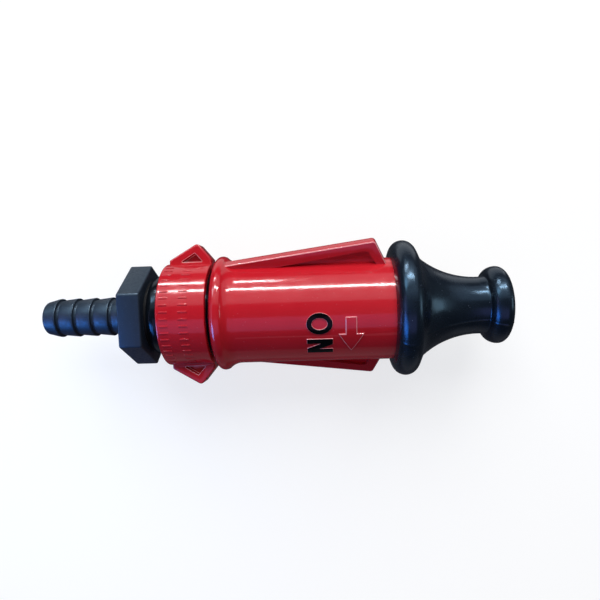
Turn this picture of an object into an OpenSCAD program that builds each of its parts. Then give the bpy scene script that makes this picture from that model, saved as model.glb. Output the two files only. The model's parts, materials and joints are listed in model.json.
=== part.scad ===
// Twist-action shut-off nozzle for a fire hose reel.
// The flow axis is X and water leaves towards +X. Z is up, and the two collar lugs point along Y.
// The origin is on the flow axis, at the front end of the barbed spigot, just behind the hexagon.
// Millimetres.

/* [Hose tail] */
// Length of the barbed spigot behind the hexagon
tail_len = 44.5; // [40:0.5:60]
// Radius of the barb crests
barb_r = 10.1; // [9.5:0.1:11]
// Radius of the tail's waterway
tail_bore_r = 6.75; // [5:0.25:7.25]
// Distance between barb crests
barb_pitch = 9.15; // [8:0.05:9.5]
// Width across the flats of the hexagon
hex_af = 45; // [42:0.5:48]
// Thickness of the hexagon
hex_len = 11.4; // [9:0.1:11.6]

/* [Collar] */
// Outer radius of the lug collar
collar_r = 26.2; // [25:0.1:27]
// Rear face of the lug collar
collar_x0 = 20.4; // [19:0.1:22]
// Front face of the lug collar
collar_x1 = 44; // [43.8:0.1:44.2]
// Outer radius of a lug, at its rounded corner
lug_r = 35.9; // [33:0.1:38]
// Width of a lug across its faces
lug_w = 11; // [8:0.5:13]
// Raised tick marks round the collar, in each of its two rows
ticks = 48; // [12:4:48]

/* [Barrel] */
// Outer radius of the barrel
barrel_r = 26; // [25.5:0.1:26.5]
// Rear face of the barrel, as drawn
barrel_x0 = 46; // [45.8:0.1:46.2]
// Crest radius of the rolled rim at the rear
rim_r = 29.4; // [28:0.1:30]
// Radius at the high end of a grip rib
rib_r = 37.6; // [33:0.1:39]
// Width of a grip rib
rib_w = 6; // [4:0.2:8]
// Turn of the barrel past its closed stop, as drawn
rest_turn = 27; // [0:1:60]

/* [Bumper] */
// Radius of the large bead of the rubber bumper
bead_r = 34.4; // [33:0.1:36]
// Radius of the bumper's neck
neck_r = 14.5; // [13.8:0.1:15]
// Radius of the lip at the outlet
lip_r = 19.65; // [18:0.05:21]
// Front end of the bumper
tip_x = 192.5; // [190:0.1:194]

/* [Drive] */
// Advance of the barrel in one full turn
lead = 16; // [12:1:20]
// Number of thread starts
starts = 4; // [2:1:6]
// Turn from closed to fully open
full_turn = 180; // [120:10:180]

/* [Hidden] */
$fn = 96;

// Travel of the barrel from its closed stop to where it is drawn
rest_travel = lead * rest_turn / 360;

// Hose tail
tail_tip_r = 8.7;
barb_root_r = 9.3;
barb_groove_r = 8.8;
barb_groove_w = 1.5;
barb_land = 1;
barbs = 4;
tail_thread_r = 16.5;
tail_thread_root = 15.3;
tail_thread_end = 27;
pipe_pitch = 2.309;
hex_x0 = 0.6;
hex_x1 = hex_x0 + hex_len;
hex_clocking = 5;

// Inlet body and its stem
washer_t = 1.3;
boss_x0 = hex_x1 + washer_t;
boss_r = 20.8;
boss_round = [5.7, 2.6];
socket_end = 28.5;
stem_bore_r = 8;
stem_bore_end = 128;
guide_r = 18.6;
seat_x0 = 66;
seat_r = 14.5;
land_r = 14.4;
land_end = 113;
neck_end = 131;
stem_end = 146;
seal_groove_w = 3.6;
seal_root_r = 11.6;
seal_x = [99.5, 107];
seal_section = 1.5;
port_x = 120;
port_r = 3.6;
keyway_w = 5;
keyway_root = 16.6;
keyway_x0 = 46;
collar_key_w = 3;
collar_key_r = 22.2;
collar_key_x = [26, 39.8];
lug_tip_x = 36.4;
lug_pocket_depth = 3.6;
tick_rows = [[22, 4.4], [31.4, 4.5]];
tick_w = 0.9;
tick_h = 0.3;
tick_clear = 22;

// Drive thread
screw_x = [66.1, 83.9];
screw_root = 16.5;
screw_crest = 18.1;
nut_x = [59.8, 82];
nut_clearance = 0.35;
nut_counterbore = 7.9;
degrees_per_slice = 15;

// Barrel interior, and the web left between a rib's two pockets
rib_web = 1.4;
barrel_bore = 22.8;
barrel_x1 = 146;
clip_groove_r = 24.2;
clip_groove_x = [48.7, 50.1];
counterbore_r = 23.3;
flange_x = [57.6, 59.6];
flange_bore = 20.6;
bumper_x0 = 134.6;
ball_r = 1.6;
ball_seat_r = 21.6;
ball_x = 53.9;
index_x = [50.3, 57.4];
index_r = 23;
dog_w = 5;
dog_len = 3.6;
click_turns = [-rest_turn, 90 - rest_turn, full_turn - rest_turn];

// Barrel liner, seat and jet
liner_r = 22.6;
liner_x0 = 82.2;
liner_step_x = 140.8;
liner_bore = 14.8;
liner_relief = 18.7;
liner_relief_end = 88.5;
seat_start = 151.5;
orifice_r = 5.5;
mouth_r = 8.2;
nose_end = 184;
jet_x0 = 163;
jet_r = 8.8;
closed_gap = 0.5;
cone_r = 12.6;
cone_tip_x = 159;
valve_seal_depth = 0.82;
fixing_x = 138.2;

// Marks. Their turns round the barrel are measured from the first rib.
on_turn = 89.5;
off_turn = 269.5;
letter_turn = 13.4;
mark_h = 0.55;
cap_h = 12.5;
stroke = 2.6;
o_half = 5.3;
n_half = 4.5;
f_half = 3.6;
mark_x = 98.3;
arrow_x = 113.2;

// Swaps [x, r] points into a solid of revolution about the X axis.
module turned(points)
    rotate([0, 90, 0])
        rotate_extrude()
            polygon([for (p = points) [p[1], p[0]]]);

// A plain tube about the X axis.
module tube(x0, x1, r_in, r_out)
    turned([[x0, r_in], [x0, r_out], [x1, r_out], [x1, r_in]]);

// A plain rod about the X axis.
module rod(x0, x1, r)
    translate([x0, 0, 0])
        rotate([0, 90, 0])
            cylinder(r = r, h = x1 - x0);

// Points of part of an oval in the [x, r] plane, from its centre and its two half widths.
// Angle 0 points along +x and 90 points outwards.
function oval(x, r, half, from, to, steps = 10) =
    [for (i = [0 : steps]) let (a = from + (to - from) * i / steps)
        [x + half[0] * cos(a), r + half[1] * sin(a)]];

// The same for a round arc.
function arc(x, r, radius, from, to, steps = 8) = oval(x, r, [radius, radius], from, to, steps);

// Children turned about the flow axis, from +Y towards +Z.
module around(angle)
    rotate([angle, 0, 0])
        children();

// An outline in the [x, r] plane given a width across that plane, standing on the +Y side.
module web(points, width)
    translate([0, 0, -width / 2])
        linear_extrude(height = width)
            polygon(points);

// ---- Hose tail ----

function barb_points() = [
    for (i = [0 : barbs])
        let (crest = -tail_len + 7.5 + i * barb_pitch, last = i == barbs)
        each [
            [(last ? 0 : crest) - barb_land, barb_r],
            [last ? 0 : crest, barb_r],
            [last ? 0 : crest, last ? barb_r : barb_groove_r],
            [last ? 0 : crest + barb_groove_w, last ? barb_r : barb_groove_r],
            [last ? 0 : crest + barb_groove_w, last ? barb_r : barb_root_r]
        ]
];

function pipe_thread_points() = [
    for (x = [hex_x1 + 2.4 : pipe_pitch : tail_thread_end - 1])
        each [
            [x, tail_thread_root],
            [x + pipe_pitch * 0.4, tail_thread_r],
            [x + pipe_pitch * 0.6, tail_thread_r],
            [x + pipe_pitch, tail_thread_root]
        ]
];

module hose_tail()
    color("#14161a")
        difference() {
            union() {
                turned(concat(
                    [[-tail_len, 0]],
                    arc(-tail_len + 1, tail_tip_r - 1, 1, 180, 90, 4),
                    barb_points(),
                    [[0, barb_root_r], [hex_x0 + 1, barb_root_r], [hex_x0 + 1, 0]]
                ));
                around(hex_clocking)
                    translate([hex_x0, 0, 0])
                        rotate([0, 90, 0])
                            rotate([0, 0, 90])
                                cylinder(r = hex_af / 2 / cos(30), h = hex_len, $fn = 6);
                turned(concat(
                    [[hex_x1 - 1, 0], [hex_x1 - 1, tail_thread_root]],
                    pipe_thread_points(),
                    [[tail_thread_end, tail_thread_root - 0.5], [tail_thread_end, 0]]
                ));
            }
            rod(-tail_len - 1, tail_thread_end + 1, tail_bore_r);
        }

module tail_washer()
    color("#101010")
        tube(hex_x1 + 0.02, boss_x0 - 0.02, 16.8, boss_r - boss_round[1] - 0.1);

// ---- Inlet body ----

module inlet_body()
    color("#0c0d10")
        difference() {
            union() {
                turned(concat(
                    [[boss_x0, 0]],
                    oval(boss_x0 + boss_round[0], boss_r - boss_round[1], boss_round, 180, 90),
                    [
                        [41.9, boss_r], [41.9, 17.7], [43.5, 17.7],
                        [43.5, guide_r], [seat_x0, guide_r], [seat_x0, seat_r],
                        [84.1, seat_r], [84.1, 13.4], [85.3, 13.4], [85.3, land_r],
                        [land_end, land_r], [land_end + 2, 11], [neck_end, 11],
                        [neck_end + 1.5, 9.5], [stem_end, 9.5], [stem_end, 0]
                    ]
                ));
                for (a = [0 : 90 : 270])
                    around(a + 45)
                        translate([collar_key_x[0], boss_r - 1, -collar_key_w / 2])
                            cube([
                                collar_key_x[1] - collar_key_x[0],
                                collar_key_r - boss_r + 1, collar_key_w
                            ]);
                for (a = [90, 270])
                    around(a)
                        translate([seat_x0 - 0.5, seat_r - 1, -1.5])
                            cube([18, 2.2, 3]);
            }
            rod(boss_x0 - 1, socket_end, tail_thread_r + 0.1);
            rod(socket_end - 1, stem_bore_end, stem_bore_r);
            rod(stem_end - 14, stem_end + 1, 2.05);
            for (x = seal_x)
                tube(x - seal_groove_w / 2, x + seal_groove_w / 2, seal_root_r, land_r + 1);
            for (a = [90, 270])
                around(a)
                    translate([keyway_x0, keyway_root, -keyway_w / 2])
                        cube([seat_x0 - keyway_x0 + 1, 4, keyway_w]);
            for (a = [45 : 90 : 315])
                around(a)
                    translate([port_x, 0, 0])
                        rotate([-90, 0, 0])
                            cylinder(r = port_r, h = 14);
        }

// An open ring with a gap, cut at the given angle.
module open_ring(x0, x1, r_in, r_out, gap, angle)
    difference() {
        tube(x0, x1, r_in, r_out);
        around(angle)
            translate([x0 - 1, 0, -gap / 2])
                cube([x1 - x0 + 2, r_out + 1, gap]);
    }

module collar_clip()
    color("#30343a")
        open_ring(42.1, 43.4, 17.8, 22.2, 6, 270);

module rear_stem_seal()
    color("#101010")
        seal_ring(seal_x[0]);

module front_stem_seal()
    color("#101010")
        seal_ring(seal_x[1]);

module seal_ring(x)
    rotate([0, 90, 0])
        rotate_extrude()
            translate([seal_root_r + seal_section + 0.05, x])
                circle(r = seal_section, $fn = 48);

// ---- Lug collar ----

function lug_outline() = concat(
    [[collar_x0 + 1.7, collar_r - 3], [collar_x0 + 1.7, 27], [collar_x0 + 2.4, 28.2]],
    arc(lug_tip_x, lug_r - 2, 2, 120, 42, 5),
    [[collar_x1, 28.2], [collar_x1, collar_r - 3]]
);

function lug_pocket() = [
    [28, collar_r + 0.6], [lug_tip_x - 1, lug_r - 4.6], [39.3, collar_r + 0.6]
];

module lug_collar()
    color("#b31524")
        difference() {
            union() {
                turned([
                    [collar_x0, 10], [collar_x0, collar_r - 0.8],
                    [collar_x0 + 0.25, collar_r - 0.25], [collar_x0 + 0.8, collar_r],
                    [collar_x1 - 0.5, collar_r], [collar_x1, collar_r - 0.5], [collar_x1, 10]
                ]);
                for (i = [0 : ticks - 1])
                    if (abs(sin((i + 0.5) * 360 / ticks)) > sin(tick_clear))
                        around((i + 0.5) * 360 / ticks)
                            for (row = tick_rows)
                                translate([row[0], collar_r - 0.5, -tick_w / 2])
                                    cube([row[1], 0.5 + tick_h, tick_w]);
                for (a = [0, 180])
                    around(a)
                        web(lug_outline(), lug_w);
            }
            for (a = [0, 180])
                around(a)
                    for (side = [0, 1])
                        mirror([0, 0, side])
                            translate([0, 0, lug_w / 2 - lug_pocket_depth])
                                linear_extrude(height = lug_pocket_depth + 1)
                                    polygon(lug_pocket());
            rod(collar_x0 - 1, collar_x1 + 1, boss_r + 0.2);
            rod(42, collar_x1 + 1, 22.5);
            for (a = [45 : 90 : 315])
                around(a)
                    translate([collar_x0 - 1, 15, -collar_key_w / 2 - 0.1])
                        cube([41, collar_key_r + 0.2 - 15, collar_key_w + 0.2]);
        }

// ---- Drive screw and nut ----

// One cross-section of the multi-start thread: each start is a trapezoid round the circle.
function thread_section(grow) = [
    for (s = [0 : starts - 1], k = [0 : 9])
        let (
            t = k / 10,
            wave = abs(2 * t - 1) * 2 - 0.5,
            rise = min(1, max(0, wave + grow * 0.25)),
            r = screw_root + grow + (screw_crest - screw_root) * rise,
            a = 360 * (s + t) / starts
        )
        [r * cos(a), r * sin(a)]
];

module thread_body(x0, x1, grow)
    translate([x0, 0, 0])
        rotate([0, 90, 0])
            rotate([0, 0, 360 * x0 / lead])
                linear_extrude(
                    height = x1 - x0,
                    twist = -360 * (x1 - x0) / lead,
                    slices = ceil(360 * (x1 - x0) / lead / degrees_per_slice)
                )
                    polygon(thread_section(grow));

module drive_screw()
    color("#e4e0d2")
        difference() {
            thread_body(screw_x[0], screw_x[1], 0);
            rod(screw_x[0] - 1, screw_x[1] + 1, seat_r + 0.1);
            for (a = [90, 270])
                around(a)
                    translate([screw_x[0] - 1, 10, -1.6])
                        cube([20, 5.9, 3.2]);
        }

module screw_clip()
    color("#8f9499")
        open_ring(84.15, 85.25, 13.5, 16, 4, 0);

// The nut's two dogs stand in slots in the liner's rear end, so the liner turns it.
module nut_dogs(grow)
    intersection() {
        tube(nut_x[1] - 1, nut_x[1] + dog_len + grow, liner_relief + 0.3 - grow, liner_r + grow);
        for (a = [0, 90])
            around(a + rest_turn)
                translate([nut_x[1] - 2, -dog_w / 2 - grow, -30])
                    cube([10, dog_w + 2 * grow, 60]);
    }

module drive_nut()
    color("#e4e0d2")
        union() {
            difference() {
                rod(nut_x[0], nut_x[1], liner_r);
                rod(nut_x[0] - 1, nut_x[0] + nut_counterbore, guide_r + 0.5);
                thread_body(nut_x[0] + nut_counterbore - 0.5, nut_x[1] + 1, nut_clearance);
            }
            nut_dogs(0);
        }

// ---- Valve ----

// The cone face is parallel to the 45 degree seat and stays short of it by closed_gap when closed.
function cone_face_x(r) = seat_start + liner_bore - r - rest_travel - closed_gap;

module valve_cone()
    color("#c8ccd0")
        difference() {
            turned([
                [stem_end + 0.05, 0], [stem_end + 0.05, cone_r - 1.5],
                [stem_end + 1.5, cone_r], [cone_face_x(cone_r), cone_r],
                [cone_tip_x, cone_face_x(0) - cone_tip_x], [cone_tip_x, 0]
            ]);
            valve_seal_shape(0.05);
            rod(stem_end - 1, cone_tip_x + 1, 2.05);
            rod(cone_tip_x - 4.2, cone_tip_x + 1, 3.6);
        }

module valve_seal_shape(grow)
    rotate([0, 90, 0])
        rotate_extrude()
            translate([9 - valve_seal_depth, cone_face_x(9) - valve_seal_depth])
                circle(r = seal_section + grow, $fn = 48);

module valve_seal()
    color("#101010")
        valve_seal_shape(0);

module cone_screw()
    color("#b9bec4")
        difference() {
            union() {
                rod(cone_tip_x - 4.15, cone_tip_x - 0.3, 3.5);
                rod(stem_end - 12, cone_tip_x - 4, 2);
            }
            translate([cone_tip_x - 2.5, 0, 0])
                rotate([0, 90, 0])
                    cylinder(r = 1.7, h = 4, $fn = 6);
        }

// ---- Index ring and its detents ----

module index_ring()
    color("#e4e0d2")
        difference() {
            union() {
                tube(index_x[0], index_x[1], guide_r + 0.3, index_r);
                for (a = [90, 270])
                    around(a)
                        translate([index_x[0], keyway_root + 0.2, -keyway_w / 2 + 0.15])
                            cube([index_x[1] - index_x[0], 4, keyway_w - 0.3]);
            }
            for (a = [90, 270])
                around(a)
                    translate([ball_x, 17.9, 0])
                        rotate([-90, 0, 0])
                            cylinder(r = ball_r + 0.05, h = 8);
        }

module detent_balls()
    color("#b9bec4")
        for (a = [90, 270])
            around(a)
                translate([ball_x, ball_seat_r, 0])
                    sphere(r = ball_r);

// A helical wire: rings of points along the coil, joined into one closed skin.
module coil(radius, wire, height, turns, around_wire = 6, per_turn = 14) {
    rings = turns * per_turn;
    function centre(i) = [
        radius * cos(360 * i / per_turn),
        radius * sin(360 * i / per_turn),
        wire + (height - 2 * wire) * i / rings
    ];
    points = [
        for (i = [0 : rings], j = [0 : around_wire - 1])
            let (c = centre(i), a = 360 * i / per_turn, b = 360 * j / around_wire)
            c + wire * [cos(a) * cos(b), sin(a) * cos(b), sin(b)]
    ];
    sides = [
        for (i = [0 : rings - 1], j = [0 : around_wire - 1])
            let (k = (j + 1) % around_wire, p = i * around_wire, q = p + around_wire)
            [p + j, q + j, q + k, p + k]
    ];
    ends = [
        [for (j = [0 : around_wire - 1]) j],
        [for (j = [around_wire - 1 : -1 : 0]) rings * around_wire + j]
    ];
    polyhedron(points, concat(sides, ends));
}

module detent_springs()
    color("#b9bec4")
        for (a = [90, 270])
            around(a)
                translate([ball_x, 17.95, 0])
                    rotate([-90, 0, 0])
                        coil(1.15, 0.22, 2.0, 3);

// ---- Barrel ----

// The rolled rim, then a hollow curve down to the plain barrel.
function barrel_outline() = concat(
    [[barrel_x0, 12], [barrel_x0, 26.2]],
    arc(49.5, rim_r - 3.1, 3.1, 165, 60, 8),
    arc(58.2, barrel_r + 9.6, 9.6, 224, 270, 6),
    [[barrel_x1 - 1, barrel_r], [barrel_x1, barrel_r - 1], [barrel_x1, 12]]
);

function rib_outline() = concat(
    [[50, barrel_r - 2], [50, 27.4]],
    arc(124.9, rib_r - 2, 2, 97.75, 25, 5),
    [[131.7, barrel_r], [131.7, barrel_r - 2]]
);

function rib_pocket() = [
    [76, barrel_r + 0.2], [121, rib_r - 4.6], [122.8, rib_r - 5.2], [127, barrel_r + 0.2]
];

// Arrow pointing towards +Y, its own centre at the origin.
function arrow_points() = [
    [-2.75, -9.35], [2.75, -9.35], [2.75, -1], [6.2, -1], [0, 9.6], [-6.2, -1], [-2.75, -1]
];

// A flat outline wrapped on the barrel: x runs along the flow and y round the barrel.
module on_surface(angle, r_in, r_out, x)
    intersection() {
        tube(x - 12, x + 12, r_in, r_out);
        around(angle)
            translate([x, 0, 0])
                rotate([-90, 0, 0])
                    linear_extrude(height = r_out + 1)
                        children();
    }

module barrel()
    color("#b31524")
        difference() {
            union() {
                turned(barrel_outline());
                for (a = [0, 180])
                    around(rest_turn + a)
                        web(rib_outline(), rib_w);
                on_surface(rest_turn + 90, barrel_r - 0.5, barrel_r + mark_h, arrow_x)
                    mirror([0, 1])
                        polygon(arrow_points());
                on_surface(rest_turn + 270, barrel_r - 0.5, barrel_r + mark_h, arrow_x)
                    polygon(arrow_points());
            }
            for (a = [0, 180])
                around(rest_turn + a)
                    for (side = [0, 1])
                        mirror([0, 0, side])
                            translate([0, 0, rib_web / 2])
                                linear_extrude(height = rib_w)
                                    polygon(rib_pocket());
            rod(barrel_x0 - 1, flange_x[0], counterbore_r);
            rod(flange_x[0] - 1, flange_x[1] + 1, flange_bore);
            rod(flange_x[1], liner_step_x + 0.1, barrel_bore);
            rod(liner_step_x, barrel_x1 + 1, 20.6);
            rod(clip_groove_x[0], clip_groove_x[1], clip_groove_r);
            for (a = [90, 270], turn = click_turns)
                around(a - turn)
                    translate([ball_x, ball_seat_r + 0.3, 0])
                        sphere(r = ball_r + 0.4);
            for (a = [0 : 120 : 240])
                around(a + rest_turn + 90)
                    translate([fixing_x, 0, 0])
                        rotate([-90, 0, 0]) {
                            cylinder(r = 1.6, h = 30);
                            translate([0, 0, 24])
                                cylinder(r = 3.1, h = 6);
                        }
        }

module index_clip()
    color("#30343a")
        open_ring(clip_groove_x[0] + 0.1, clip_groove_x[1] - 0.1, 21, clip_groove_r - 0.1, 5, 200);

module wiper_ring()
    color("#101010")
        tube(barrel_x0 + 0.6, clip_groove_x[0] - 0.1, guide_r + 0.25, counterbore_r - 0.05);

module barrel_liner()
    color("#1b1d21")
        difference() {
            turned([
                [liner_x0, 0], [liner_x0, liner_r], [liner_step_x, liner_r],
                [liner_step_x, 20.4], [147, 20], [154, 17.4], [160, 14.4], [168, 12.1],
                [178.5, 11.3], [179.5, 12.2], [182.5, 11.8], [nose_end, 11], [nose_end, 0]
            ]);
            turned([
                [liner_x0 - 1, 0], [liner_x0 - 1, liner_relief],
                [liner_relief_end - 1, liner_relief], [liner_relief_end, liner_bore],
                [seat_start, liner_bore], [seat_start + liner_bore - orifice_r, orifice_r],
                [jet_x0, orifice_r], [jet_x0, jet_r + 0.05], [nose_end + 1, jet_r + 0.05],
                [nose_end + 1, 0]
            ]);
            nut_dogs(0.1);
            for (a = [0 : 120 : 240])
                around(a + rest_turn + 90)
                    translate([fixing_x, 17, 0])
                        rotate([-90, 0, 0])
                            cylinder(r = 1.6, h = 10);
        }

module liner_screws()
    color("#b9bec4")
        for (a = [0 : 120 : 240])
            around(a + rest_turn + 90)
                translate([fixing_x, 0, 0])
                    rotate([-90, 0, 0])
                        difference() {
                            union() {
                                translate([0, 0, 17.2])
                                    cylinder(r = 1.5, h = 7);
                                translate([0, 0, 24.05])
                                    cylinder(r = 3, h = 1.6);
                            }
                            translate([0, 0, 24.9])
                                cylinder(r = 1.4, h = 2, $fn = 6);
                        }

module jet_tip()
    color("#b08d42")
        turned([
            [jet_x0 + 0.05, orifice_r], [jet_x0 + 0.05, jet_r], [nose_end, jet_r],
            [nose_end, mouth_r], [168, orifice_r]
        ]);

// ---- Marks ----

// Letters are drawn with their tops towards +x and read towards +y.
function ellipse(a, b, n = 40) =
    [for (i = [0 : n - 1]) [a * cos(360 * i / n), b * sin(360 * i / n)]];

module letter_o()
    difference() {
        polygon(ellipse(cap_h / 2, o_half));
        polygon(ellipse(cap_h / 2 - stroke, o_half - stroke));
    }

module letter_n() {
    for (y = [-n_half, n_half - stroke])
        translate([-cap_h / 2, y])
            square([cap_h, stroke]);
    polygon([
        [cap_h / 2, -n_half], [cap_h / 2, stroke - n_half],
        [-cap_h / 2, n_half], [-cap_h / 2, n_half - stroke]
    ]);
}

module letter_f() {
    translate([-cap_h / 2, -f_half])
        square([cap_h, stroke]);
    for (x = [cap_h / 2 - stroke, -stroke / 2])
        translate([x, -f_half])
            square([stroke, 2 * f_half]);
}

// on_surface turns an outline's y against the angle, so a letter is mirrored before it is wrapped.
module mark(angle)
    on_surface(rest_turn + angle, barrel_r + 0.02, barrel_r + mark_h, mark_x)
        mirror([0, 1])
            children();

module on_mark()
    color("#08080a") {
        mark(on_turn - letter_turn)
            letter_o();
        mark(on_turn + letter_turn)
            letter_n();
    }

module off_mark()
    color("#08080a") {
        mark(off_turn - 23.5)
            letter_o();
        mark(off_turn)
            letter_f();
        mark(off_turn + 20.5)
            letter_f();
    }

// ---- Rubber bumper ----

// The bead is one arc, and so is the hollow that runs from it down to the neck. The lip is two ovals.
bead_x = 141;
bead_section = 6.1;
hollow_r = 46;
hollow_x = 179;
lip_x = 188;
lip_rise = lip_r - neck_r;
function hollow(x) = neck_r + hollow_r - sqrt(pow(hollow_r, 2) - pow(x - hollow_x, 2));

module rubber_bumper()
    color("#0d0e11")
        turned(concat(
            [[bumper_x0, barrel_r + 0.05], [bumper_x0, barrel_r + 0.8]],
            arc(bead_x, bead_r - bead_section, bead_section, 170, 25, 14),
            [for (x = [149.5 : 2.9 : 178.5]) [x, hollow(x)]],
            oval(lip_x, neck_r, [6.2, lip_rise], 175, 90),
            oval(lip_x, neck_r, [tip_x - lip_x, lip_rise], 80, 0, 8),
            [
                [tip_x - 0.5, neck_r - 2.4], [tip_x - 1.8, 10.9], [tip_x - 3.4, 10.1],
                [nose_end + 0.3, 9.2], [nose_end + 0.3, 11.1],
                [182.6, 11.95], [179.4, 12.35], [178.4, 11.45], [168, 12.25], [160, 14.55],
                [154, 17.55], [147, 20.2], [barrel_x1 + 0.1, 20.5],
                [barrel_x1 + 0.1, barrel_r + 0.05]
            ]
        ));

hose_tail();
tail_washer();
inlet_body();
lug_collar();
collar_clip();
drive_screw();
screw_clip();
rear_stem_seal();
front_stem_seal();
valve_cone();
valve_seal();
cone_screw();
index_ring();
detent_balls();
detent_springs();
barrel();
barrel_liner();
drive_nut();
liner_screws();
jet_tip();
index_clip();
wiper_ring();
rubber_bumper();
on_mark();
off_mark();
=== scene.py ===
"""Looks of the hose reel nozzle: moulded pieces with rounded edges, materials, light and camera."""

import json
import math

import bmesh
import bpy
from mathutils import Matrix, Vector


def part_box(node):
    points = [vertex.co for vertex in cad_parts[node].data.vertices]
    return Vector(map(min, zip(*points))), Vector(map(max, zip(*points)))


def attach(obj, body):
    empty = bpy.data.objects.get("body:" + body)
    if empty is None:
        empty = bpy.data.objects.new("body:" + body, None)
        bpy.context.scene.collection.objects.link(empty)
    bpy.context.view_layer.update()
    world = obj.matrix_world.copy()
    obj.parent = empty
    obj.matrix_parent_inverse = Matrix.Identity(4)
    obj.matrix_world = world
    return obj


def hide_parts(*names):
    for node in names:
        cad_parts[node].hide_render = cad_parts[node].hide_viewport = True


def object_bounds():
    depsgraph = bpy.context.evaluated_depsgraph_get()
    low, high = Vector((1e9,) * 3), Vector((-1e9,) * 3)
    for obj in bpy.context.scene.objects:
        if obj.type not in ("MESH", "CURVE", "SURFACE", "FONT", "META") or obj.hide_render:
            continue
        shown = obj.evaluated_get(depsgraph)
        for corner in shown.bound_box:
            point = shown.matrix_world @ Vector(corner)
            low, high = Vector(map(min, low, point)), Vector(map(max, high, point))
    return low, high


MM = 0.001
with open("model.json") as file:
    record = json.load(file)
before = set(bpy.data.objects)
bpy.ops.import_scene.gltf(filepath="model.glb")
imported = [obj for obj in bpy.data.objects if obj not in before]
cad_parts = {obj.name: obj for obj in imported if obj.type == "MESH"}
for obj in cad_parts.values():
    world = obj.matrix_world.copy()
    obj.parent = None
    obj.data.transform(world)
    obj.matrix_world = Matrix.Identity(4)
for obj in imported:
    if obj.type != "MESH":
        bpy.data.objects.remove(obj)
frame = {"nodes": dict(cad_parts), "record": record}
cad_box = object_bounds()

# ---- Sizes in millimetres, from the frame ----


def span(node):
    """Lowest and highest corner of a CAD node, in millimetres."""
    low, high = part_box(node)
    return low / MM, high / MM


tail_low, tail_high = span("hose_tail")
collar_low, collar_high = span("lug_collar")
barrel_low, barrel_high = span("barrel")
bumper_low, bumper_high = span("rubber_bumper")

TAIL_TIP = tail_low.x
TAIL_END = tail_high.x
HEX_X = (0.6, 12.0)
HEX_AF = 45
HEX_TURN = 5
COLLAR_X = (collar_low.x, collar_high.x)
COLLAR_R = 26.2
BARREL_X = (barrel_low.x, barrel_high.x)
RIM_R = (barrel_high.z - barrel_low.z) / 2
BUMPER_X = (bumper_low.x, bumper_high.x)
BEAD_R = (bumper_high.z - bumper_low.z) / 2
BARREL_R = 26.0
RIB_TURN = 27
RIB_R = 37.6
LUG_R = 35.9
MARK_H = 0.55
STRIP = 0.6

# ---- Mesh helpers. Outlines are in millimetres, and meshes in metres. ----


def oval(x, r, half, start, end, steps=10):
    """Points of part of an oval round (x, r), with its half widths and with angles in degrees."""
    angles = (math.radians(start + (end - start) * i / steps) for i in range(steps + 1))
    return [(x + half[0] * math.cos(a), r + half[1] * math.sin(a)) for a in angles]


def arc(x, r, radius, start, end, steps=8):
    """Points of an arc round (x, r)."""
    return oval(x, r, (radius, radius), start, end, steps)


def ellipse(a, b, steps=48):
    """Closed ellipse round the origin."""
    return oval(0, 0, (a, b), 0, 360, steps)[:-1]


def rounded(corners, steps=4):
    """Closed outline from (x, y, radius) corners, with an arc where the radius isn't 0."""
    points = []
    count = len(corners)
    for i, (x, y, radius) in enumerate(corners):
        here = Vector((x, y))
        if not radius:
            points.append((x, y))
            continue
        before = (Vector(corners[i - 1][:2]) - here).normalized()
        after = (Vector(corners[(i + 1) % count][:2]) - here).normalized()
        half = before.angle(after) / 2
        centre = here + (before + after).normalized() * (radius / math.sin(half))
        first = here + before * (radius / math.tan(half)) - centre
        last = here + after * (radius / math.tan(half)) - centre
        turn = first.angle_signed(last)
        for k in range(steps + 1):
            spoke = first.copy()
            spoke.rotate(Matrix.Rotation(-turn * k / steps, 2))
            points.append(tuple(centre + spoke))
    return points


def add_object(name, bm):
    """Makes an object from a bmesh in millimetres."""
    bm.normal_update()
    bmesh.ops.recalc_face_normals(bm, faces=bm.faces)
    bm.transform(Matrix.Scale(MM, 4))
    mesh = bpy.data.meshes.new(name)
    bm.to_mesh(mesh)
    bm.free()
    obj = bpy.data.objects.new(name, mesh)
    bpy.context.scene.collection.objects.link(obj)
    return obj


def lathe(name, outline, segments=216, start=RIB_TURN):
    """Solid of revolution about the X axis from a closed (x, r) outline."""
    bm = bmesh.new()
    rings = []
    for i in range(segments):
        angle = math.radians(start + 360 * i / segments)
        across, up = math.cos(angle), math.sin(angle)
        rings.append([bm.verts.new((x, r * across, r * up)) for x, r in outline])
    for i, ring in enumerate(rings):
        after = rings[(i + 1) % segments]
        for k in range(len(outline)):
            m = (k + 1) % len(outline)
            bm.faces.new((ring[k], ring[m], after[m], after[k]))
    return add_object(name, bm)


def slab(name, outline, low, high, turn=0):
    """An (x, y) outline given a thickness along Z, then turned about the X axis."""
    bm = bmesh.new()
    face = bm.faces.new([bm.verts.new((x, y, low)) for x, y in outline])
    grown = bmesh.ops.extrude_face_region(bm, geom=[face])
    moved = [v for v in grown["geom"] if isinstance(v, bmesh.types.BMVert)]
    bmesh.ops.translate(bm, verts=moved, vec=(0, 0, high - low))
    bm.transform(Matrix.Rotation(math.radians(turn), 4, "X"))
    return add_object(name, bm)


def settle(obj):
    """Applies an object's modifiers to its mesh."""
    graph = bpy.context.evaluated_depsgraph_get()
    mesh = bpy.data.meshes.new_from_object(obj.evaluated_get(graph))
    obj.modifiers.clear()
    obj.data = mesh
    return obj


def bevel(obj, width, segments=3, angle=35, edge_slot=-1):
    """Rounds edges sharper than the angle. edge_slot is the material slot of the new faces."""
    rounding = obj.modifiers.new("round", "BEVEL")
    rounding.material = edge_slot
    rounding.width = width * MM
    rounding.segments = segments
    rounding.limit_method = "ANGLE"
    rounding.angle_limit = math.radians(angle)
    return settle(obj)


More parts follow.
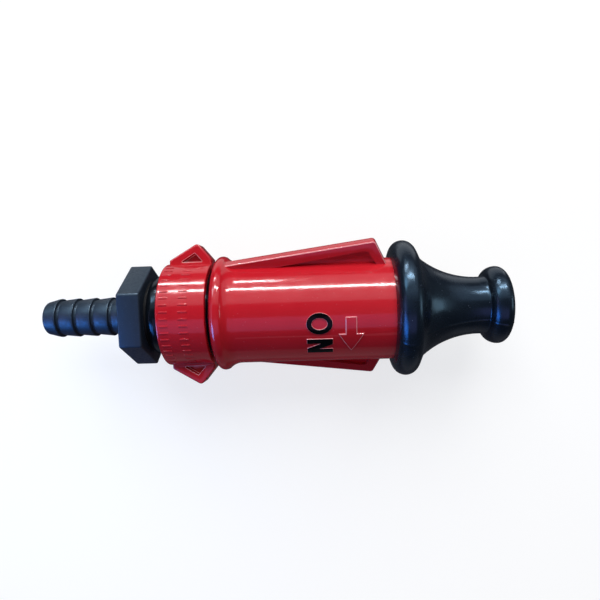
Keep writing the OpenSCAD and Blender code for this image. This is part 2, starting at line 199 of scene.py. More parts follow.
def combine(obj, others, operation):
    """Adds solids to obj or cuts them from it, and removes them."""
    for other in others:
        step = obj.modifiers.new("combine", "BOOLEAN")
        step.operation = operation
        step.solver = "EXACT"
        step.object = other
        settle(obj)
        bpy.data.objects.remove(other)
    return obj


def join(objects):
    """Puts several separate solids into the first one's mesh."""
    bm = bmesh.new()
    for obj in objects:
        bm.from_mesh(obj.data)
    for obj in objects[1:]:
        bpy.data.objects.remove(obj)
    bm.to_mesh(objects[0].data)
    bm.free()
    return objects[0]


def smooth(obj, angle=38):
    """Smooth shading, with edges sharper than the angle kept."""
    obj.data.shade_smooth()
    obj.data.set_sharp_from_angle(angle=math.radians(angle))
    return obj


def round_normals(obj, radii):
    """Gives faces that lie on cylinders of these radii the cylinder's own normals."""
    mesh = obj.data
    normals = [corner.vector.copy() for corner in mesh.corner_normals]
    for face in mesh.polygons:
        points = [mesh.vertices[i].co for i in face.vertices]
        reach = [math.hypot(p.y, p.z) / MM for p in points]
        if any(max(abs(r - radius) for r in reach) < 0.02 for radius in radii):
            for corner, point in zip(face.loop_indices, points):
                normals[corner] = Vector((0, point.y, point.z)).normalized()
    mesh.normals_split_custom_set(normals)
    return obj


def take(obj):
    """Removes an object and returns its mesh as a bmesh in millimetres."""
    bm = bmesh.new()
    bm.from_mesh(obj.data)
    bpy.data.objects.remove(obj)
    bm.transform(Matrix.Scale(1 / MM, 4))
    return bm


def bend(bm, angle, reach):
    """Bends a flat raised mark round the barrel. y runs round it from the angle, up to the reach."""
    cuts = int(reach / STRIP)
    for k in range(-cuts, cuts + 1):
        parts = bm.verts[:] + bm.edges[:] + bm.faces[:]
        bmesh.ops.bisect_plane(bm, geom=parts, plane_co=(0, STRIP * k, 0), plane_no=(0, 1, 0))
    for v in bm.verts:
        turn = math.radians(angle) + v.co.y / BARREL_R
        out = BARREL_R + v.co.z
        v.co = Vector((v.co.x, out * math.cos(turn), out * math.sin(turn)))
    return bm


def paint(obj):
    """Gives a red moulding its two materials: its own, and the paler one of its edges, a painted
    highlight.
    """
    obj.data.materials.append(RED)
    obj.data.materials.append(RED_EDGE)
    return obj


# ---- Material helpers ----


def shader(name, slot_color, roughness):
    """A new material, its node tree and its Principled shader."""
    material = bpy.data.materials.new(name)
    material.use_nodes = True
    tree = material.node_tree
    surface = tree.nodes["Principled BSDF"]
    surface.inputs["Base Color"].default_value = (*slot_color, 1)
    surface.inputs["Roughness"].default_value = roughness
    return material, tree, surface


def noise(tree, scale, detail=3, rough=0.5, stretch=(1, 1, 1)):
    """A noise texture in object space. The scale is in features per metre."""
    place = tree.nodes.new("ShaderNodeTexCoord")
    mapping = tree.nodes.new("ShaderNodeMapping")
    mapping.inputs["Scale"].default_value = stretch
    texture = tree.nodes.new("ShaderNodeTexNoise")
    texture.inputs["Scale"].default_value = scale
    texture.inputs["Detail"].default_value = detail
    texture.inputs["Roughness"].default_value = rough
    tree.links.new(place.outputs["Object"], mapping.inputs["Vector"])
    tree.links.new(mapping.outputs["Vector"], texture.inputs["Vector"])
    return texture.outputs["Fac"]


def spots(tree, scale, radius):
    """1 in small round spots, 0 elsewhere. The radius is a share of the spots' spacing."""
    place = tree.nodes.new("ShaderNodeTexCoord")
    cells = tree.nodes.new("ShaderNodeTexVoronoi")
    cells.inputs["Scale"].default_value = scale
    tree.links.new(place.outputs["Object"], cells.inputs["Vector"])
    edge = tree.nodes.new("ShaderNodeMapRange")
    edge.inputs["From Min"].default_value = radius
    edge.inputs["From Max"].default_value = radius * 0.5
    tree.links.new(cells.outputs["Distance"], edge.inputs["Value"])
    return edge.outputs["Result"]


def remap(tree, value, low, high, to_low, to_high):
    """value taken from low..high to to_low..to_high."""
    node = tree.nodes.new("ShaderNodeMapRange")
    for field, number in (("From Min", low), ("From Max", high), ("To Min", to_low), ("To Max", to_high)):
        node.inputs[field].default_value = number
    tree.links.new(value, node.inputs["Value"])
    return node.outputs["Result"]


def mix(tree, factor, first, second):
    """Colour from first to second by factor. Either one may be a colour or a socket."""
    node = tree.nodes.new("ShaderNodeMix")
    node.data_type = "RGBA"
    tree.links.new(factor, node.inputs["Factor"])
    for socket, value in ((node.inputs[6], first), (node.inputs[7], second)):
        if isinstance(value, bpy.types.NodeSocket):
            tree.links.new(value, socket)
        else:
            socket.default_value = (*value, 1)
    return node.outputs[2]


def bump(tree, surface, height, distance, strength=1.0):
    """Relief of the given height, in millimetres, on top of any relief that is there."""
    node = tree.nodes.new("ShaderNodeBump")
    node.inputs["Distance"].default_value = distance * MM
    node.inputs["Strength"].default_value = strength
    tree.links.new(height, node.inputs["Height"])
    normal = surface.inputs["Normal"]
    if normal.links:
        tree.links.new(normal.links[0].from_socket, node.inputs["Normal"])
    tree.links.new(node.outputs["Normal"], normal)


def edges(tree, low=0.52, high=0.6):
    """0 on flat faces, up to 1 on convex edges."""
    geometry = tree.nodes.new("ShaderNodeNewGeometry")
    return remap(tree, geometry.outputs["Pointiness"], low, high, 0, 1)


# ---- Materials ----


def red_plastic():
    material, tree, surface = shader("red_moulding", (0.50, 0.009, 0.018), 0.12)
    cloud = noise(tree, 60, 2)
    base = mix(tree, cloud, (0.46, 0.007, 0.015), (0.54, 0.012, 0.022))
    # Convex edges paler: partly wear, partly a painted highlight along the edges.
    edge_wear_and_sheen = mix(tree, remap(tree, edges(tree), 0, 1, 0, 0.3), base, (0.66, 0.06, 0.07))
    dust = spots(tree, 420, 0.06)
    tree.links.new(mix(tree, dust, edge_wear_and_sheen, (0.7, 0.16, 0.2)), surface.inputs["Base Color"])
    tree.links.new(remap(tree, noise(tree, 180, 3), 0.3, 0.7, 0.09, 0.17), surface.inputs["Roughness"])
    bump(tree, surface, noise(tree, 320, 2), 0.012)
    bump(tree, surface, noise(tree, 2400, 2), 0.0012)
    return material


def red_edge_highlight():
    """Raised edges of the red mouldings, painted paler as a highlight, with uneven tone."""
    material, tree, surface = shader("red_moulding_edge_highlight", (0.75, 0.22, 0.24), 0.16)
    edge_highlight_tone = mix(tree, noise(tree, 260, 4, 0.6), (0.66, 0.12, 0.14), (0.86, 0.36, 0.38))
    tree.links.new(edge_highlight_tone, surface.inputs["Base Color"])
    tree.links.new(remap(tree, noise(tree, 400, 3), 0.3, 0.7, 0.1, 0.25), surface.inputs["Roughness"])
    bump(tree, surface, noise(tree, 900, 3), 0.01)
    return material


def black_plastic():
    material, tree, surface = shader("black_moulding", (0.010, 0.016, 0.026), 0.4)
    surface.inputs["Specular Tint"].default_value = (0.55, 0.78, 1.0, 1)
    base = mix(tree, noise(tree, 90, 3), (0.007, 0.012, 0.021), (0.012, 0.019, 0.031))
    # Convex edges paler: partly wear, partly a painted highlight along the edges.
    edge_wear_and_sheen = mix(tree, remap(tree, edges(tree), 0, 1, 0, 0.4), base, (0.03, 0.042, 0.06))
    specks = spots(tree, 1100, 0.16)
    tree.links.new(mix(tree, specks, edge_wear_and_sheen, (0.03, 0.045, 0.07)), surface.inputs["Base Color"])
    tree.links.new(remap(tree, noise(tree, 700, 3), 0.3, 0.7, 0.36, 0.54), surface.inputs["Roughness"])
    bump(tree, surface, noise(tree, 1500, 4, 0.6), 0.02)
    return material


def gloss_black_plastic():
    material, tree, surface = shader("black_gloss_moulding", (0.003, 0.004, 0.006), 0.16)
    surface.inputs["Specular Tint"].default_value = (0.6, 0.8, 1.0, 1)
    surface.inputs["Specular IOR Level"].default_value = 0.3
    base = mix(tree, noise(tree, 80, 2), (0.002, 0.003, 0.004), (0.004, 0.005, 0.008))
    tree.links.new(base, surface.inputs["Base Color"])
    tree.links.new(remap(tree, noise(tree, 250, 3), 0.3, 0.7, 0.12, 0.24), surface.inputs["Roughness"])
    bump(tree, surface, noise(tree, 500, 2), 0.008)
    return material


def bumper_rubber():
    material, tree, surface = shader("bumper_rubber", (0.005, 0.008, 0.013), 0.3)
    surface.inputs["Specular Tint"].default_value = (0.42, 0.7, 1.0, 1)
    base = mix(tree, noise(tree, 70, 4, 0.6), (0.003, 0.005, 0.009), (0.007, 0.011, 0.018))
    bloom = remap(tree, noise(tree, 35, 5, 0.7, (0.4, 1, 1)), 0.52, 0.75, 0, 0.5)
    hazed = mix(tree, bloom, base, (0.012, 0.018, 0.024))
    dust = spots(tree, 330, 0.07)
    tree.links.new(mix(tree, dust, hazed, (0.09, 0.11, 0.15)), surface.inputs["Base Color"])
    tree.links.new(remap(tree, noise(tree, 120, 4), 0.3, 0.7, 0.17, 0.33), surface.inputs["Roughness"])
    bump(tree, surface, noise(tree, 900, 3), 0.008)
    bump(tree, surface, noise(tree, 45, 2, 0.5, (0.3, 1, 1)), 0.06)
    return material


def seal_rubber():
    material, tree, surface = shader("seal_rubber", (0.004, 0.004, 0.005), 0.6)
    surface.inputs["Specular IOR Level"].default_value = 0.2
    base = mix(tree, noise(tree, 300, 3), (0.003, 0.003, 0.004), (0.006, 0.006, 0.007))
    tree.links.new(base, surface.inputs["Base Color"])
    bump(tree, surface, noise(tree, 2000, 2), 0.006)
    return material


def acetal():
    material, tree, surface = shader("drive_plastic", (0.78, 0.75, 0.66), 0.38)
    base = mix(tree, noise(tree, 120, 3), (0.74, 0.71, 0.61), (0.82, 0.80, 0.72))
    tree.links.new(base, surface.inputs["Base Color"])
    surface.inputs["Subsurface Weight"].default_value = 0.15
    surface.inputs["Subsurface Radius"].default_value = (0.002, 0.0018, 0.0014)
    bump(tree, surface, noise(tree, 900, 2), 0.006)
    return material


def metal(name, dark, light, roughness, stretch):
    """Machined metal, with fine marks along the stretched direction."""
    material, tree, surface = shader(name, light, roughness)
    surface.inputs["Metallic"].default_value = 1
    tree.links.new(mix(tree, noise(tree, 400, 4, 0.6, stretch), dark, light), surface.inputs["Base Color"])
    grain = noise(tree, 900, 3, 0.6, stretch)
    uneven = remap(tree, grain, 0.3, 0.7, roughness - 0.08, roughness + 0.08)
    tree.links.new(uneven, surface.inputs["Roughness"])
    bump(tree, surface, grain, 0.004)
    return material


def mark_paint():
    material, tree, surface = shader("mark_black", (0.004, 0.004, 0.005), 0.14)
    surface.inputs["Specular IOR Level"].default_value = 0.12
    base = mix(tree, noise(tree, 500, 3), (0.001, 0.001, 0.0015), (0.003, 0.003, 0.004))
    tree.links.new(base, surface.inputs["Base Color"])
    bump(tree, surface, noise(tree, 900, 2), 0.01)
    return material


RED = red_plastic()
RED_EDGE = red_edge_highlight()
MATERIALS = {
    "red_moulding": RED,
    "black_moulding": black_plastic(),
    "black_gloss_moulding": gloss_black_plastic(),
    "bumper_rubber": bumper_rubber(),
    "seal_rubber": seal_rubber(),
    "drive_plastic": acetal(),
    "brass": metal("brass", (0.62, 0.40, 0.14), (0.80, 0.57, 0.25), 0.26, (0.2, 1, 1)),
    "stainless": metal("stainless", (0.52, 0.53, 0.54), (0.68, 0.69, 0.70), 0.26, (0.2, 1, 1)),
    "spring_steel": metal("spring_steel", (0.16, 0.17, 0.18), (0.30, 0.31, 0.33), 0.34, (1, 0.3, 1)),
    "mark_black": mark_paint(),
}
SLOT = {row["node"]: row["material_slot"] for row in frame["record"]["subparts"]}


def place(obj, node, body):
    """obj stands for a CAD node: it takes its material and slot, and rides on its body."""
    slot = SLOT[node]
    if not obj.data.materials:
        obj.data.materials.append(MATERIALS[slot])
    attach(obj, body)
    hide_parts(node)
    return obj


# ---- Hose tail ----


def hexagon():
    """The wrench hexagon, with the small mark of the mould's gate on its top rear edge."""
    radius = HEX_AF / 2 / math.cos(math.radians(30))
    bm = bmesh.new()
    corners = []
    for i in range(6):
        turn = math.radians(60 * i + HEX_TURN)
        corners.append(bm.verts.new((HEX_X[0], radius * math.cos(turn), radius * math.sin(turn))))
    grown = bmesh.ops.extrude_face_region(bm, geom=[bm.faces.new(corners)])
    moved = [v for v in grown["geom"] if isinstance(v, bmesh.types.BMVert)]
    bmesh.ops.translate(bm, verts=moved, vec=(HEX_X[1] - HEX_X[0], 0, 0))
    obj = bevel(add_object("hexagon", bm), 0.9, 4)
    notch = slab("notch", ellipse(1.0, 0.7, 16), HEX_AF / 2 - 0.5, HEX_AF / 2 + 4)
    notch.data.transform(Matrix.Translation((5.6 * MM, 12.6 * MM, 0)))
    core = lathe("core", [(-1, 0.01), (-1, 8), (13, 8), (13, 0.01)], 48)
    return combine(obj, [core, notch], "DIFFERENCE")


def barb_outline():
    """Tip, four sloped barbs with a groove after each, and a last land at the hexagon."""
    crest, root, groove = 10.1, 9.3, 8.8
    tip_round, edge_round = 1.4, 0.3
    first_barb, barb_pitch = 7.5, 9.15
    points = arc(TAIL_TIP + tip_round, 7.3, tip_round, 180, 90, 5)
    for i in range(4):
        x = TAIL_TIP + first_barb + barb_pitch * i
        points += [(x - 1.2, crest - 0.1)]
        points += arc(x - edge_round, crest - edge_round, edge_round, 90, 0, 3)
        points += [(x, groove + 0.25), (x + 0.25, groove), (x + 1.3, groove)]
        points += [(x + 1.5, root - 0.2), (x + 1.8, root)]
    points += [(-1, crest - 0.1)]
    points += arc(-edge_round, crest - edge_round, edge_round, 90, 0, 3)
    return points + [(0, root), (HEX_X[0] + 1, root)]


def hose_tail():
    """Barbed spigot, hexagon and the hidden thread."""
    bore = 6.75
    root, crest, pitch = 15.3, 16.5, 2.309
    points = barb_outline() + [(HEX_X[1] - 1, 9.3), (HEX_X[1] - 1, root)]
    x = HEX_X[1] + 2.4
    while x < TAIL_END - 1:
        points += [(x, root), (x + pitch * 0.4, crest), (x + pitch * 0.6, crest)]
        x += pitch
    points += [(x, root), (TAIL_END, root - 0.5), (TAIL_END, bore)]
    points += [(TAIL_TIP + 0.8, bore), (TAIL_TIP, bore + 0.5)]
    tail = lathe("hose_tail_moulding", points, 144, HEX_TURN)
    return smooth(combine(tail, [hexagon()], "UNION"))


# ---- Lug collar ----

LUG_W = 11
LUG_TIP_X = 36.4
TICKS = 48
TICK_ROWS = ((22, 4.4), (31.4, 4.5))
TICK_W, TICK_H, TICK_CLEAR = 0.9, 0.3, 22


def lug_outline():
    """Side view of a lug, with its foot inside the collar."""
    left, right = COLLAR_X[0] + 1.7, COLLAR_X[1]
    points = [(left, COLLAR_R - 3), (left, 26.8)]
    points += arc(left + 1.2, 27.2, 1.2, 160, 120, 3)
    points += arc(LUG_TIP_X, LUG_R - 2, 2, 120, 42, 6)
    points += [(right - 0.2, 28.1), (right - 0.2, COLLAR_R - 3)]
    return points


def lug(turn):
    """Triangular lug with a blind pocket in each face."""
    body = bevel(paint(slab("lug", lug_outline(), -LUG_W / 2, LUG_W / 2)), 0.9, 4, 50)
    foot = COLLAR_R + 0.6
    pocket = rounded([(28, foot, 0.3), (LUG_TIP_X - 1, LUG_R - 4.6, 0.5), (39.3, foot, 0.3)], 3)
    depth = 3.6
    for low, high in ((LUG_W / 2 - depth, LUG_W), (-LUG_W, -LUG_W / 2 + depth)):
        combine(body, [slab("pocket", pocket, low, high)], "DIFFERENCE")
    # The pocket rims take the second slot, the paler red of a painted highlight.
    bevel(body, 0.35, 3, 70, 1)
    body.data.transform(Matrix.Rotation(math.radians(turn), 4, "X"))
    return body


def tick_marks():
    """Two rows of small raised ticks, clear of the lugs."""
    ticks = []
    for i in range(TICKS):
        turn = math.radians((i + 0.5) * 360 / TICKS)
        if abs(math.sin(turn)) <= math.sin(math.radians(TICK_CLEAR)):
            continue
        for x, length in TICK_ROWS:
            half = TICK_W / 2
            corners = [(x, -half), (x + length, -half), (x + length, half), (x, half)]
            flat = rounded([(*corner, 0.3) for corner in corners], 3)
            tick = bevel(slab("tick", flat, COLLAR_R - 0.5, COLLAR_R + TICK_H), 0.2, 2, 60)
            tick.data.transform(Matrix.Rotation(turn - math.pi / 2, 4, "X"))
            ticks.append(tick)
    return ticks


def lug_collar():
    """Ring with two lugs, two rows of ticks and four keyways inside."""
    outline = rounded(
        [
            (COLLAR_X[0], 21.0, 0.2),
            (COLLAR_X[0], COLLAR_R, 0.8),
            (COLLAR_X[1], COLLAR_R, 0.5),
            (COLLAR_X[1], 22.5, 0.2),
            (42, 22.5, 0),
            (42, 21.0, 0),
        ]
    )
    collar = paint(lathe("lug_collar_moulding", outline, 216, 0))
    combine(collar, [lug(0), lug(180)], "UNION")
    combine(collar, [join(tick_marks())], "UNION")
    keyway = [(19, 15), (40, 15), (40, 22.4), (19, 22.4)]
    keys = [slab("key", keyway, -1.6, 1.6, 45 + 90 * i) for i in range(4)]
    combine(collar, keys, "DIFFERENCE")
    return round_normals(smooth(collar), (COLLAR_R,))


# ---- Barrel ----

FIXING_X = 138.2
ARROW_X = 113.2
GUIDE_R, LINER_R, WIPER_R, WIPER_GROOVE_R = 20.6, 22.8, 23.3, 24.2


def barrel_outline():
    """Section of the sleeve: its rear face, the rolled rim and the outside, then the bores."""
    rear, front = BARREL_X
    rear_face = [(rear, WIPER_R + 0.3), (rear, 26.2)]
    outer = arc(rear + 3.5, RIM_R - 3.1, 3.1, 165, 60, 14)
    outer += arc(rear + 12.2, BARREL_R + 9.6, 9.6, 224, 270, 10)
    outer += [(front - 1, BARREL_R), (front, BARREL_R - 1), (front, GUIDE_R)]
    bore = [(140.8, GUIDE_R), (140.8, LINER_R), (59.6, LINER_R)]
    bore += [(59.6, GUIDE_R), (57.6, GUIDE_R), (57.6, WIPER_R)]
    groove = [(50.1, WIPER_R), (50.1, WIPER_GROOVE_R), (48.7, WIPER_GROOVE_R), (48.7, WIPER_R)]
    return rear_face + outer + bore + groove + [(rear + 0.3, WIPER_R)]


def rib(turn):
    """Grip rib that rises towards the front, with a long pocket in each side."""
    width, web = 6, 1.4
    outline = [(50, 24), (50, 27.4)] + arc(124.9, RIB_R - 2, 2, 97.75, 25, 8)
    outline += [(131.7, BARREL_R), (131.7, 24)]
    # The rib's rounded edges take the second slot, the paler red of a painted highlight.
    body = bevel(paint(slab("rib", outline, -width / 2, width / 2)), 0.5, 3, 40, 1)
    foot = BARREL_R - 0.3
    top = [(121, RIB_R - 4.6, 0.6), (122.8, RIB_R - 5.2, 0.8)]
    pocket = rounded([(76, foot, 0), *top, (127, foot, 0)], 4)
    for low, high in ((web / 2, width), (-width, -web / 2)):
        combine(body, [slab("pocket", pocket, low, high)], "DIFFERENCE")
    body.data.transform(Matrix.Rotation(math.radians(turn), 4, "X"))
    return body


def arrow(turn, way):
    """Raised arrow. way is 1 where it points in the ON direction and -1 in the OFF direction."""
    shaft, head, tail, neck, point = 2.75, 6.2, -9.35, -1, 9.6
    points = [(-shaft, tail), (shaft, tail), (shaft, neck), (head, neck)]
    points += [(0, point), (-head, neck), (-shaft, neck)]
    shifted = [(x + ARROW_X, y * way) for x, y in points]
    # The arrow's rounded edges take the second slot, the paler red of a painted highlight.
    flat = bevel(paint(slab("arrow", shifted, -0.5, MARK_H)), 0.45, 4, 60, 1)
    return paint(add_object("arrow", bend(take(flat), RIB_TURN + turn, point)))


def screw_hole(turn, radius, low, high):
    """Round cutter for a liner screw's shank or head, from one radius of the barrel to another."""
    bm = bmesh.new()
    bmesh.ops.create_cone(
        bm, cap_ends=True, segments=32, radius1=radius, radius2=radius, depth=high - low
    )
    bm.transform(Matrix.Translation((FIXING_X, 0, (low + high) / 2)))
    bm.transform(Matrix.Rotation(math.radians(turn), 4, "X"))
    return add_object("hole", bm)


def barrel():
    """Sleeve with its screw holes, ribs and arrows."""
    shell = paint(lathe("barrel_moulding", barrel_outline()))
    shank, head = (1.6, 18, 27), (3.1, 24, 28)
    turns = [RIB_TURN + 120 * i for i in range(3)]
    holes = [screw_hole(turn, *size) for turn in turns for size in (shank, head)]
    combine(shell, holes, "DIFFERENCE")
    combine(shell, [rib(RIB_TURN), rib(RIB_TURN + 180)], "UNION")
    combine(shell, [arrow(90, 1), arrow(270, -1)], "UNION")
    return round_normals(smooth(shell), (BARREL_R, BARREL_R + MARK_H))


# ---- Rubber bumper ----

BEAD = (141, 6.1)
NECK_R = 14.5
HOLLOW = (179, 46)
LIP_X, LIP_R = 188, 19.65
SEAM_TURNS = (120, -60)
SEAM_H = 0.25


def bumper_outline():
    """Section of the nose: bead, hollow neck and lip, then the inside that fits the liner."""

    def hollow(x):
        return NECK_R + HOLLOW[1] - math.sqrt(HOLLOW[1] ** 2 - (x - HOLLOW[0]) ** 2)

    rear, tip = BUMPER_X
    points = [(rear, BARREL_R + 0.05), (rear, BARREL_R + 0.8)]
    points += arc(BEAD[0], BEAD_R - BEAD[1], BEAD[1], 170, 25, 24)
    points += [(149 + 2.2 * i, hollow(149 + 2.2 * i)) for i in range(14)]
    points += [(181.2, NECK_R + 0.05)]
    points += oval(LIP_X, NECK_R, (6.2, LIP_R - NECK_R), 172, 90, 14)
    points += oval(LIP_X, NECK_R, (tip - LIP_X, LIP_R - NECK_R), 82, 0, 12)
    points += [(tip - 0.15, NECK_R - 1.3), (tip - 0.6, NECK_R - 2.5)]
    points += [(tip - 1.8, 10.9), (tip - 3.4, 10.1)]
    points += [(184.3, 9.2), (184.3, 11.1), (182.6, 11.95), (179.4, 12.35)]
    points += [(178.4, 11.45), (168, 12.25), (160, 14.55), (154, 17.55), (147, 20.2)]
    points += [(146.1, 20.5), (146.1, BARREL_R + 0.05)]
    return points


def bumper():
    """Moulded nose, with the fine line where the mould's halves met."""
    obj = lathe("rubber_bumper_moulding", bumper_outline(), 288, SEAM_TURNS[1])
    for v in obj.data.vertices:
        angle = math.degrees(math.atan2(v.co.z, v.co.y))
        off_seam = min(abs((angle - seam + 180) % 360 - 180) for seam in SEAM_TURNS)
        reach = math.hypot(v.co.y, v.co.z) / MM
        if off_seam < 0.3 and reach > NECK_R - 0.2:
            v.co.y *= 1 + SEAM_H / reach
            v.co.z *= 1 + SEAM_H / reach
    return smooth(obj, 60)


# ---- Letters ----

CAP, STROKE = 12.5, 2.6
BAR, DIAGONAL = 2.9, 3.4
O_HALF, N_HALF, F_HALF = 5.3, 4.5, 3.6
MARK_X = 98.3


def bar(x_low, x_high, y_low, y_high):
    """Outline of one straight stroke."""
    return [(x_low, y_low), (x_high, y_low), (x_high, y_high), (x_low, y_high)]


def strokes(shape):
    """Outlines of the strokes of an N or an F. The letter's top is towards +X."""
    top = CAP / 2
    if shape == "N":
        wide = N_HALF
        diagonal = [(top, -wide), (top, DIAGONAL - wide), (-top, wide), (-top, wide - DIAGONAL)]
        return [bar(-top, top, -wide, BAR - wide), bar(-top, top, wide - BAR, wide), diagonal]
    wide = F_HALF
    arms = [bar(x, x + STROKE, -wide, wide) for x in (top - STROKE, -STROKE / 2)]
    return [bar(-top, top, -wide, STROKE - wide), *arms]


def letter(shape, angle):
    """One raised letter on the barrel, as a bmesh in millimetres."""
    low, high = 0.02, MARK_H
    if shape == "O":
        flat = slab("stroke", ellipse(CAP / 2, O_HALF), low, high)
        hole = slab("hole", ellipse(CAP / 2 - STROKE, O_HALF - STROKE), -1, 2)
        combine(flat, [hole], "DIFFERENCE")
    else:
        parts = [slab("stroke", outline, low, high) for outline in strokes(shape)]
        flat = combine(parts[0], parts[1:], "UNION")
    bm = take(flat)
    bmesh.ops.dissolve_limit(bm, angle_limit=math.radians(1), verts=bm.verts, edges=bm.edges)
    # The letter's rounded edges take the second slot, the paler red of a painted highlight.
    bm = take(bevel(paint(add_object("letter", bm)), 0.3, 3, 50, 1))
    bmesh.ops.translate(bm, verts=bm.verts, vec=(MARK_X, 0, 0))
    return bend(bm, angle, O_HALF)


def mark(name, letters):
    """Raised letters with black tops, pale edges painted as highlights, and red sides."""
    joined = bmesh.new()
    for shape, angle in letters:
        part = letter(shape, RIB_TURN + angle)
        mesh = bpy.data.meshes.new("part")
        part.to_mesh(mesh)
        part.free()
        joined.from_mesh(mesh)
    obj = paint(smooth(add_object(name, joined), 50))
    obj.data.materials.append(MATERIALS["mark_black"])
    for face in obj.data.polygons:
        reach = math.hypot(face.center.y, face.center.z) / MM
        if reach > BARREL_R + MARK_H - 0.03:
            face.material_index = 2
    return obj


# ---- The pieces ----

place(hose_tail(), "hose_tail", "inlet")
place(lug_collar(), "lug_collar", "inlet")
place(barrel(), "barrel", "barrel")
place(bumper(), "rubber_bumper", "barrel")
place(mark("on_letters", [("O", 76.1), ("N", 102.9)]), "on_mark", "barrel")
place(mark("off_letters", [("O", 246), ("F", 269.5), ("F", 290)]), "off_mark", "barrel")

# The other pieces are the CAD's own, and only take a material.
for name, obj in frame["nodes"].items():
    smooth(obj)
    obj.data.materials.clear()
    obj.data.materials.append(MATERIALS[SLOT[name]])

# ---- Floor ----

FLOOR_REACH = 6
FLOOR_GLOW = 0.73


def pale_floor():
    """White floor under the bumper's bead. It doesn't show in the gloss or light the underside."""
    bm = bmesh.new()
    bmesh.ops.create_grid(bm, x_segments=2, y_segments=2, size=FLOOR_REACH)
    bm.transform(Matrix.Translation((0.09, 0, cad_box[0].z)))
    mesh = bpy.data.meshes.new("floor")
    bm.to_mesh(mesh)
    bm.free()
    obj = bpy.data.objects.new("floor", mesh)
    bpy.context.scene.collection.objects.link(obj)
    material, _, surface = shader("floor", (0.3, 0.3, 0.3), 0.9)
    surface.inputs["Specular IOR Level"].default_value = 0
    surface.inputs["Emission Color"].default_value = (1, 1, 1, 1)
    surface.inputs["Emission Strength"].default_value = FLOOR_GLOW
    mesh.materials.append(material)
    obj.visible_glossy = False
    obj.visible_diffuse = False
    obj.visible_shadow = False


pale_floor()

# ---- Light ----

MIDDLE = Vector((0.09, 0, 0))
TAIL = Vector((-0.025, 0, 0))


def direction(lean, along=0):
    """Direction that leans from straight up towards +Y and, second, towards +X, in degrees."""
    lean, along = math.radians(lean), math.radians(along)
    return Vector((math.tan(along), math.sin(lean), math.cos(lean)))


def panel(name, way, distance, size, radiance, color=(1, 1, 1), glossy=True, diffuse=True, aim=MIDDLE):
    """Area light that faces the aim from way. Its size is along the nozzle and across it."""
    light = bpy.data.lights.new(name, "AREA")
    light.shape = "RECTANGLE"
    light.size, light.size_y = size
    light.energy = radiance * math.pi * size[0] * size[1]
    light.color = color
    obj = bpy.data.objects.new(name, light)
    back = way.normalized()
    across = back.cross(Vector((1, 0, 0))).normalized()
    axes = Matrix((across.cross(back), across, back)).transposed()
    obj.matrix_world = Matrix.Translation(aim + back * distance) @ axes.to_4x4()
    bpy.context.scene.collection.objects.link(obj)
    obj.visible_glossy = glossy
    obj.visible_diffuse = diffuse
    obj.visible_camera = False
    return obj


panel("key", direction(50), 1.6, (1.6, 1.3), 5.4, glossy=False)
panel("fill", direction(-5), 1.8, (2.4, 2.4), 0.32, glossy=False)
panel("ceiling", direction(52), 1.2, (3.0, 1.5), 0.9, (0.85, 0.9, 1.0), diffuse=False)
panel("long_tube", direction(53.5, 3), 1.2, (1.1, 0.042), 105, diffuse=False)
panel("short_tube", direction(73, -17), 1.2, (0.5, 0.042), 75, diffuse=False)
panel("cool_panel", direction(-26, -4), 1.2, (1.6, 0.64), 0.8, (0.6, 0.45, 1.0), diffuse=False)
panel("rear_panel", direction(-14, -66), 1.4, (0.35, 1.1), 1.8, (0.9, 0.6, 1.0), diffuse=False)
panel("blue_window", direction(-48, -55), 1.5, (0.8, 0.6), 13, (0.06, 0.32, 1.0), diffuse=False)
panel("blue_wash", direction(-55, -40), 1.4, (1.0, 0.5), 1.6, (0.12, 0.35, 1.0), glossy=False)
panel("rear_window", direction(50, -38), 1.3, (0.5, 0.3), 9, (0.6, 0.85, 1.0), diffuse=False)
panel("tail_glow", direction(-40, -30), 0.16, (0.08, 0.08), 7, (0.12, 0.4, 1.0), glossy=False, aim=TAIL)
panel("end_window", direction(10, 76), 1.6, (0.5, 0.5), 2.8, (0.75, 0.95, 1.0), diffuse=False)
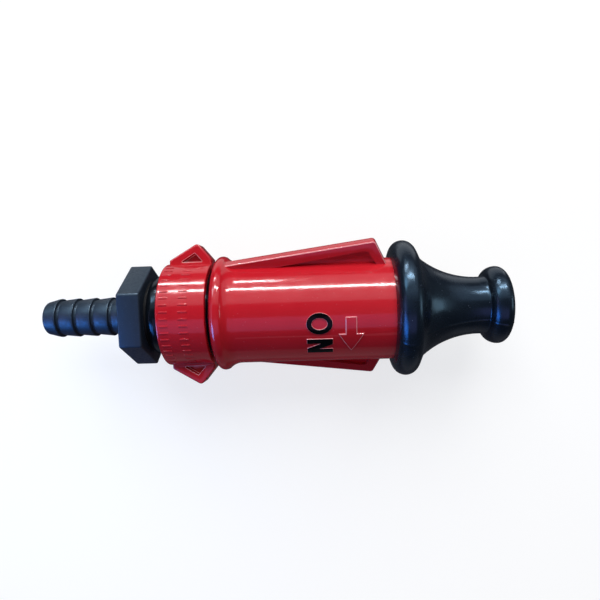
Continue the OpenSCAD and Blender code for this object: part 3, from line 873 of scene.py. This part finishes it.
panel("low_red", direction(-130), 1.4, (2.4, 0.9), 1.5, (1.0, 0.3, 0.3), glossy=False)
panel("front_floor", direction(-112), 1.4, (2.4, 0.9), 0.13, (0.95, 0.95, 1.0), diffuse=False)
panel("back_floor", direction(122), 1.4, (2.4, 0.9), 0.75, (0.95, 0.97, 1.0), diffuse=False)


def studio():
    """Surroundings: pale where the camera sees past the floor, and dim to the object."""
    world = bpy.data.worlds.new("studio")
    world.use_nodes = True
    tree = world.node_tree
    dim = tree.nodes["Background"]
    dim.inputs["Color"].default_value = (0.75, 0.82, 1.0, 1)
    dim.inputs["Strength"].default_value = 0.07
    pale = tree.nodes.new("ShaderNodeBackground")
    pale.inputs["Color"].default_value = (0.97, 0.97, 0.97, 1)
    path = tree.nodes.new("ShaderNodeLightPath")
    choose = tree.nodes.new("ShaderNodeMixShader")
    tree.links.new(path.outputs["Is Camera Ray"], choose.inputs[0])
    tree.links.new(dim.outputs[0], choose.inputs[1])
    tree.links.new(pale.outputs[0], choose.inputs[2])
    tree.links.new(choose.outputs[0], tree.nodes["World Output"].inputs["Surface"])
    bpy.context.scene.world = world


studio()
bpy.context.scene.view_settings.view_transform = "Standard"

# ---- Camera, nearly straight above the nozzle with the outlet a little nearer ----

LENS, SENSOR = 30, 36
DISTANCE = 259.9
YAW, TILT = math.radians(2.43), math.radians(1.84)
AIM_X = 88.3
AXIS_DROP = 5.5


def add_camera():
    data = bpy.data.cameras.new("camera")
    data.lens = LENS
    data.sensor_width = SENSOR
    data.clip_start = 0.01
    camera = bpy.data.objects.new("camera", data)
    bpy.context.scene.collection.objects.link(camera)
    flow = Vector((math.cos(YAW) * math.cos(TILT), math.cos(YAW) * math.sin(TILT), math.sin(YAW)))
    side = Vector((0, 0, 1)).cross(flow).normalized()
    to_frame = Matrix((flow, side, flow.cross(side)))
    spot = Vector((AIM_X, 0, 0)) + to_frame @ Vector((0, AXIS_DROP, DISTANCE))
    camera.matrix_world = Matrix.Translation(spot * MM) @ to_frame.to_4x4()
    bpy.context.scene.camera = camera


add_camera()
